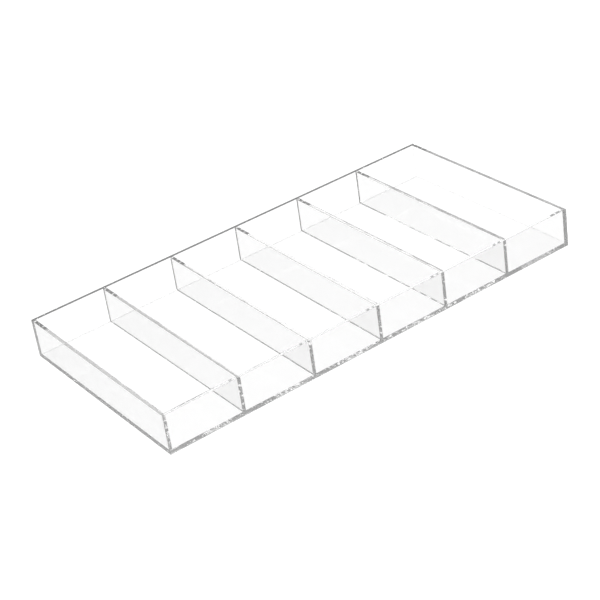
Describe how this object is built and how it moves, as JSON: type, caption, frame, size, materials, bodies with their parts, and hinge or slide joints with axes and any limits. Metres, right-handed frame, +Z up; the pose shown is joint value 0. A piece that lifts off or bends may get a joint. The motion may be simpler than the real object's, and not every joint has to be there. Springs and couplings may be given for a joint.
{
  "type": "multi glasses organizer",
  "caption": "Clear acrylic tray with a flat base, low walls and parallel dividers that make open compartments for folded glasses.",
  "frame": {"origin": "centre of the underside of the base, on the surface the tray stands on", "axes": "+X along the long walls, +Y from the front wall to the back wall along the compartments, +Z up"},
  "size_m": [0.3606, 0.1774, 0.031],
  "materials": {
    "clear_acrylic": "gloss"
  },
  "bodies": {
    "root": {"base_panel": "clear_acrylic", "front_wall": "clear_acrylic", "back_wall": "clear_acrylic", "left_end_wall": "clear_acrylic", "right_end_wall": "clear_acrylic", "divider_1": "clear_acrylic", "divider_2": "clear_acrylic", "divider_3": "clear_acrylic", "divider_4": "clear_acrylic", "divider_5": "clear_acrylic"}
  },
  "joints": []
}
